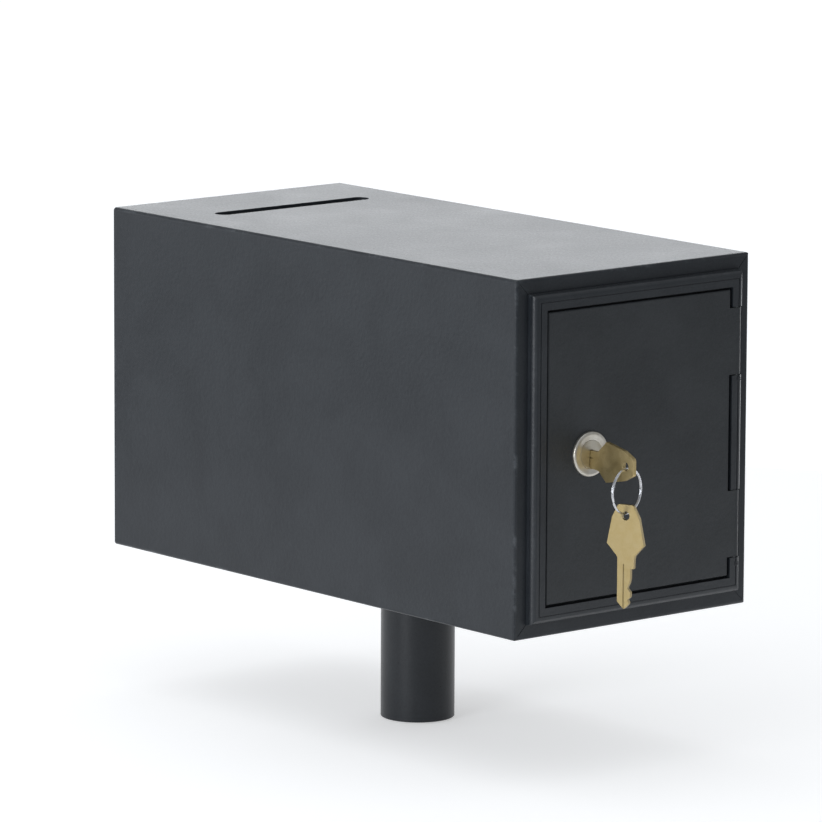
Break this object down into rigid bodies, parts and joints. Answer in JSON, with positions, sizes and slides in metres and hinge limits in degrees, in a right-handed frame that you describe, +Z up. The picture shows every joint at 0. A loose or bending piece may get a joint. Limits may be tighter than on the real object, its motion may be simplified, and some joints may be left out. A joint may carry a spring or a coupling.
{
  "type": "book drop box",
  "caption": "Folded steel drop box on a round post, with a thin slot in its top near the back and a keyed, hinged cast door in its front.",
  "frame": {"origin": "centre of the post's lower end", "axes": "+Z up along the post, -Y out through the door, +X towards the hinge side"},
  "size_m": [0.153, 0.3623, 0.253],
  "materials": {
    "powder_coat": "semi-gloss dark grey powder coat with a fine texture",
    "cast_paint": "semi-gloss near-black paint on a fine-textured casting",
    "post_paint": "semi-gloss near-black powder coat",
    "zinc_plate": "bright zinc plate",
    "nickel": "polished nickel plate",
    "brass": "milled and handled brass",
    "ring_steel": "bright nickel-plated spring wire",
    "spring_steel": "drawn spring wire"
  },
  "bodies": {
    "box": {"box_wrap": "powder_coat", "back_panel": "powder_coat", "floor_doubler": "powder_coat", "door_frame": "cast_paint", "frame_clamps": "zinc_plate", "frame_screws": "zinc_plate", "hinge_pin": "zinc_plate", "pin_screws": "zinc_plate", "post_tube": "post_paint", "post_flange": "post_paint", "post_weld": "post_paint", "mount_bolts": "zinc_plate", "mount_washers": "zinc_plate", "mount_nuts": "zinc_plate"},
    "door": {"door_panel": "cast_paint", "lock_body": "nickel", "lock_washer": "zinc_plate", "lock_nut": "zinc_plate"},
    "plug": {"lock_plug": "nickel", "lock_wafers": "brass", "wafer_springs": "spring_steel", "lock_cam": "zinc_plate", "cam_washer": "zinc_plate", "cam_screw": "zinc_plate"},
    "key": {"inserted_key": "brass"},
    "ring": {"key_ring": "ring_steel"},
    "spare": {"spare_key": "brass"}
  },
  "joints": [
    {"name": "door_swing", "type": "hinge", "parent": "box", "child": "door", "pos_m": [0.0654, -0.1667, 0.164], "axis": [0, 0, 1], "range_deg": [0, 105]},
    {"name": "plug_turn", "type": "hinge", "parent": "door", "child": "plug", "pos_m": [-0.033, -0.164, 0.164], "axis": [0, 1, 0], "range_deg": [0, 90]},
    {"name": "key_pull", "type": "slide", "parent": "plug", "child": "key", "axis": [0, -1, 0], "range_m": [0, 0.024]},
    {"name": "ring_swing", "type": "hinge", "parent": "key", "child": "ring", "pos_m": [-0.033, -0.1966, 0.1617], "axis": [-1, 0, 0], "range_deg": [-16, 40]},
    {"name": "spare_key_swing", "type": "hinge", "parent": "ring", "child": "spare", "pos_m": [-0.033, -0.1966, 0.1495], "axis": [0.1736, -0.9848, 0], "range_deg": [-60, 60]}
  ]
}
